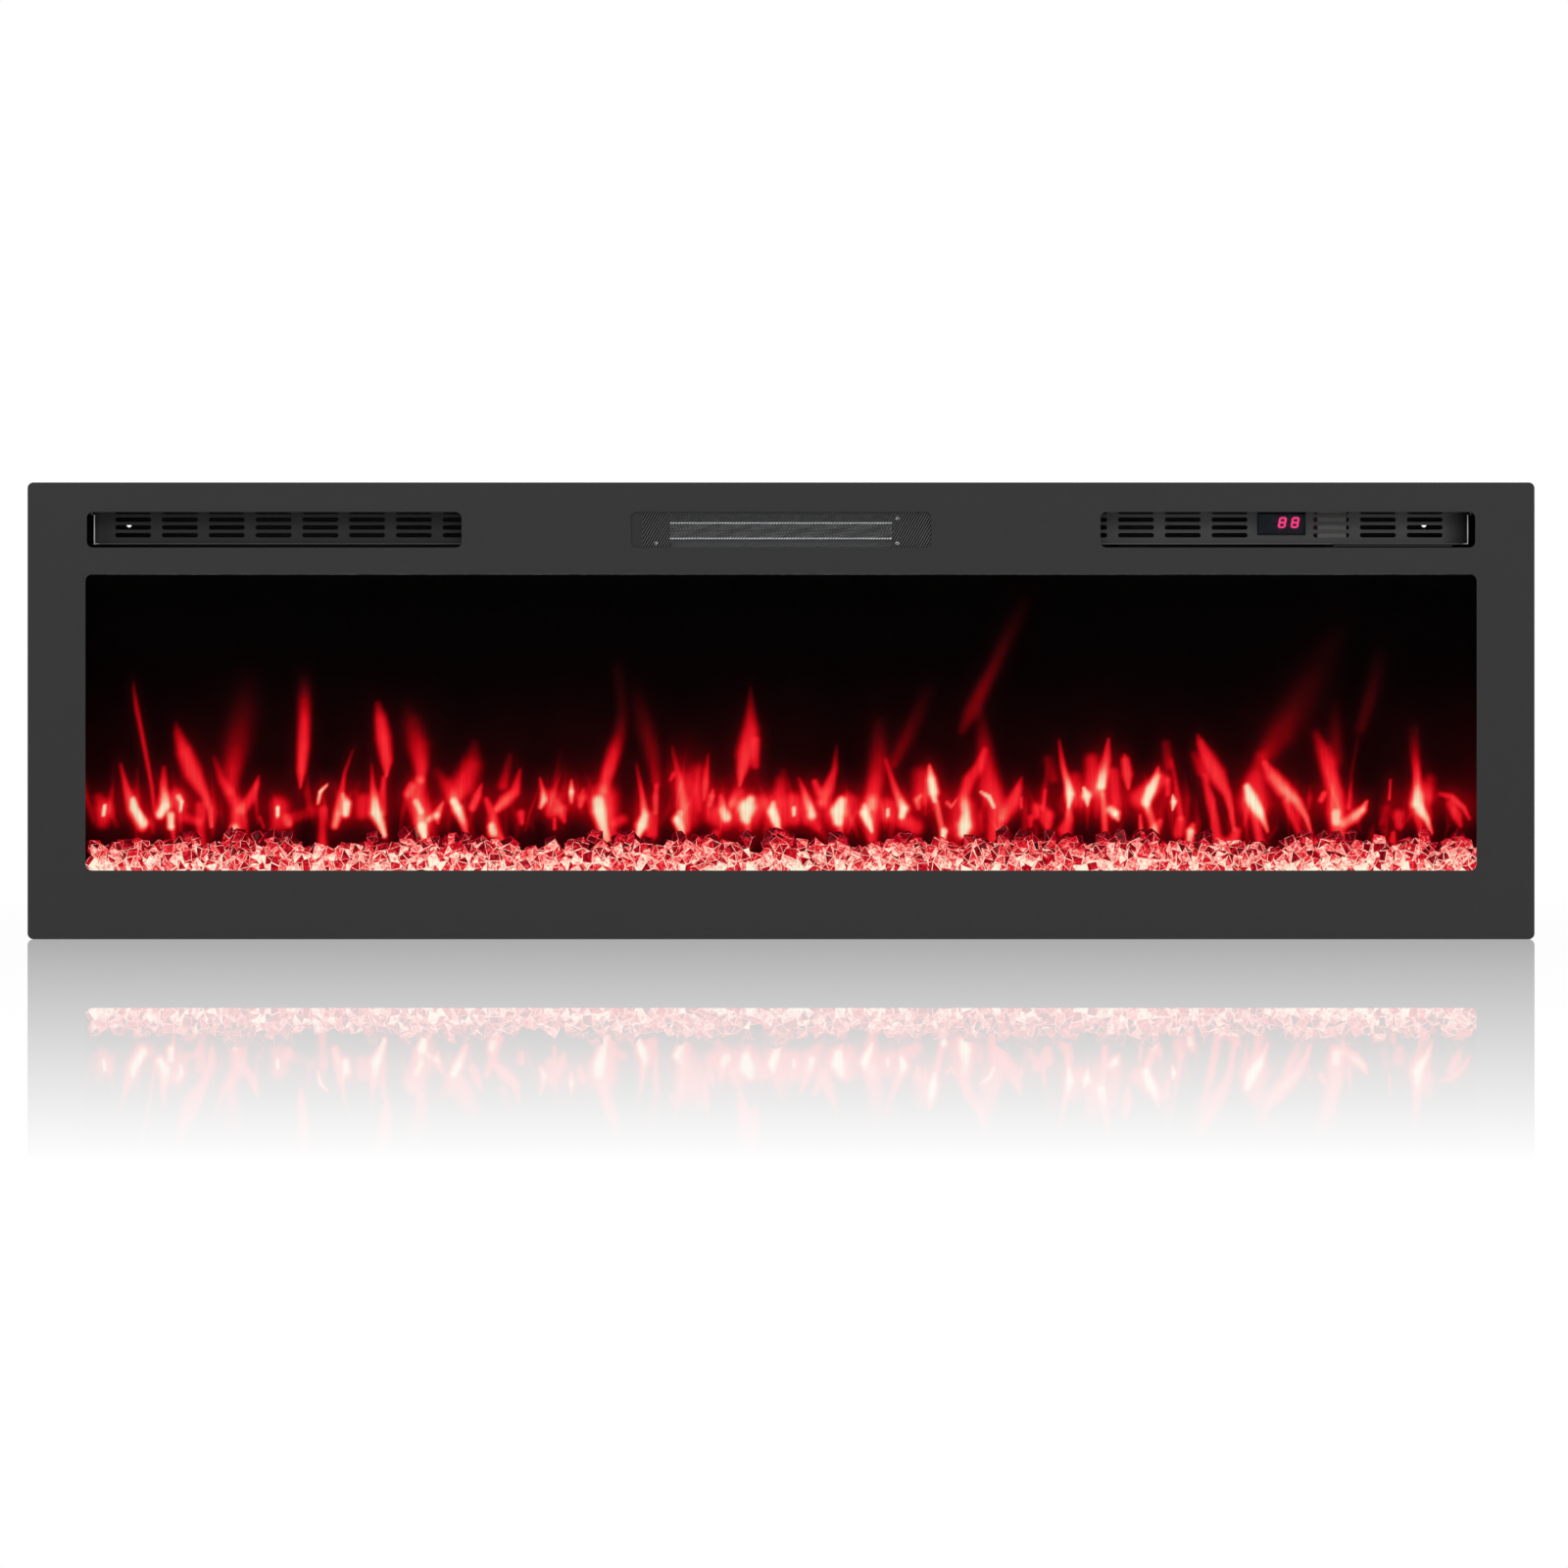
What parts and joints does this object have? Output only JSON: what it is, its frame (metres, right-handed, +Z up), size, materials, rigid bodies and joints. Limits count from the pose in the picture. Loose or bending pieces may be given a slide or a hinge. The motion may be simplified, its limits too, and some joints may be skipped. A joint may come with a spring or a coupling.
{
  "type": "electric fireplace",
  "caption": "Long wall-recessed electric fireplace with a flat dark front panel, wide flame window over a bed of lit crystals, slotted air vents and a fan heater behind a mesh outlet.",
  "frame": {"origin": "centre of the back panel's rear face, which lies on the wall", "axes": "+X to the right of someone facing the front, +Y into the wall, +Z up"},
  "size_m": [1.524, 0.14, 0.462],
  "materials": {
    "panel_powder_coat": "fine matte dark grey powder coat",
    "chassis_black_coat": "matte black coat",
    "galvanised_steel": "spangled zinc coat",
    "bracket_grey_coat": "thin grey primer coat",
    "clear_glass": "clear tempered glass",
    "flame_acrylic": "dark tinted acrylic lit from behind",
    "clear_acrylic": "clear moulded acrylic",
    "crystal_acrylic": "clear faceted acrylic lit red from below",
    "circuit_board": "green solder mask",
    "lamp_resin": "lamp resin",
    "mirror_foil": "bright foil",
    "turned_steel": "ground",
    "mask_black": "dead black",
    "bush_bronze": "sintered bronze",
    "rubber_black": "soft rubber",
    "motor_steel": "zinc plated",
    "mesh_black": "grey painted expanded mesh",
    "heater_aluminium": "bare folded fins",
    "black_plastic": "moulded",
    "wheel_aluminium": "pressed",
    "smoked_lens": "smoked acrylic",
    "digit_light": "lit digit bars",
    "key_plastic": "moulded",
    "rocker_plastic": "glossy moulded",
    "transformer_tape": "wound under black tape",
    "lead_sleeve": "glass-fibre sleeve",
    "zinc_screw": "zinc plated"
  },
  "bodies": {
    "chassis": {"front_panel": "panel_powder_coat", "vent_plate_left": "panel_powder_coat", "vent_plate_right": "panel_powder_coat", "top_cover": "chassis_black_coat", "base_pan": "chassis_black_coat", "left_side_panel": "chassis_black_coat", "right_side_panel": "chassis_black_coat", "back_panel": "chassis_black_coat", "firebox_ceiling": "chassis_black_coat", "side_liners": "chassis_black_coat", "lower_rail": "chassis_black_coat", "panel_brackets": "chassis_black_coat", "blower_scroll": "galvanised_steel", "blower_end_plates": "galvanised_steel", "motor_bracket": "galvanised_steel", "shaft_stands": "galvanised_steel", "screen_rails": "galvanised_steel", "glass_clips": "galvanised_steel", "display_bracket": "bracket_grey_coat", "window_glass": "clear_glass", "flame_screen": "flame_acrylic", "crystal_tray": "clear_acrylic", "crystals": "crystal_acrylic", "bed_light_board": "circuit_board", "flame_light_board": "circuit_board", "display_board": "circuit_board", "main_board": "circuit_board", "bed_lamps": "lamp_resin", "flame_lamps": "lamp_resin", "flame_mask": "mask_black", "heater_duct": "mask_black", "shaft_bushes": "bush_bronze", "blower_bush": "rubber_black", "flame_motor": "motor_steel", "blower_motor": "motor_steel", "outlet_mesh": "mesh_black", "heating_element": "heater_aluminium", "element_caps": "black_plastic", "control_strip": "black_plastic", "switch_body": "black_plastic", "cord_gland": "black_plastic", "relays": "black_plastic", "overheat_cutout": "black_plastic", "display_lens": "smoked_lens", "display_digits": "digit_light", "transformer": "transformer_tape", "heater_leads": "lead_sleeve", "screws": "zinc_screw"},
    "blower_rotor": {"blower_wheel": "wheel_aluminium", "blower_shaft": "turned_steel"},
    "flame_rotor": {"flame_shaft": "turned_steel", "flame_foils": "mirror_foil", "shaft_coupling": "rubber_black", "motor_spindle": "turned_steel"},
    "rocker": {"power_rocker": "rocker_plastic"},
    "power_key": {"key_power": "key_plastic"},
    "flame_key": {"key_flame": "key_plastic"},
    "light_key": {"key_light": "key_plastic"},
    "heat_key": {"key_heat": "key_plastic"},
    "timer_key": {"key_timer": "key_plastic"}
  },
  "joints": [
    {"name": "blower_spin", "type": "hinge", "parent": "chassis", "child": "blower_rotor", "pos_m": [0, -0.05, 0.181], "axis": [1, 0, 0], "continuous": true},
    {"name": "flame_spin", "type": "hinge", "parent": "chassis", "child": "flame_rotor", "pos_m": [0, -0.05, -0.178], "axis": [1, 0, 0], "continuous": true},
    {"name": "rocker_tilt", "type": "hinge", "parent": "chassis", "child": "rocker", "pos_m": [0.716, -0.066, 0.181], "axis": [0, 0, 1], "range_deg": [-16, 0]},
    {"name": "power_press", "type": "slide", "parent": "chassis", "child": "power_key", "axis": [0, 0, -1], "range_m": [0, 0.0008], "stiffness_N_per_m": 600},
    {"name": "flame_press", "type": "slide", "parent": "chassis", "child": "flame_key", "axis": [0, 0, -1], "range_m": [0, 0.0008], "stiffness_N_per_m": 600},
    {"name": "light_press", "type": "slide", "parent": "chassis", "child": "light_key", "axis": [0, 0, -1], "range_m": [0, 0.0008], "stiffness_N_per_m": 600},
    {"name": "heat_press", "type": "slide", "parent": "chassis", "child": "heat_key", "axis": [0, 0, -1], "range_m": [0, 0.0008], "stiffness_N_per_m": 600},
    {"name": "timer_press", "type": "slide", "parent": "chassis", "child": "timer_key", "axis": [0, 0, -1], "range_m": [0, 0.0008], "stiffness_N_per_m": 600}
  ]
}
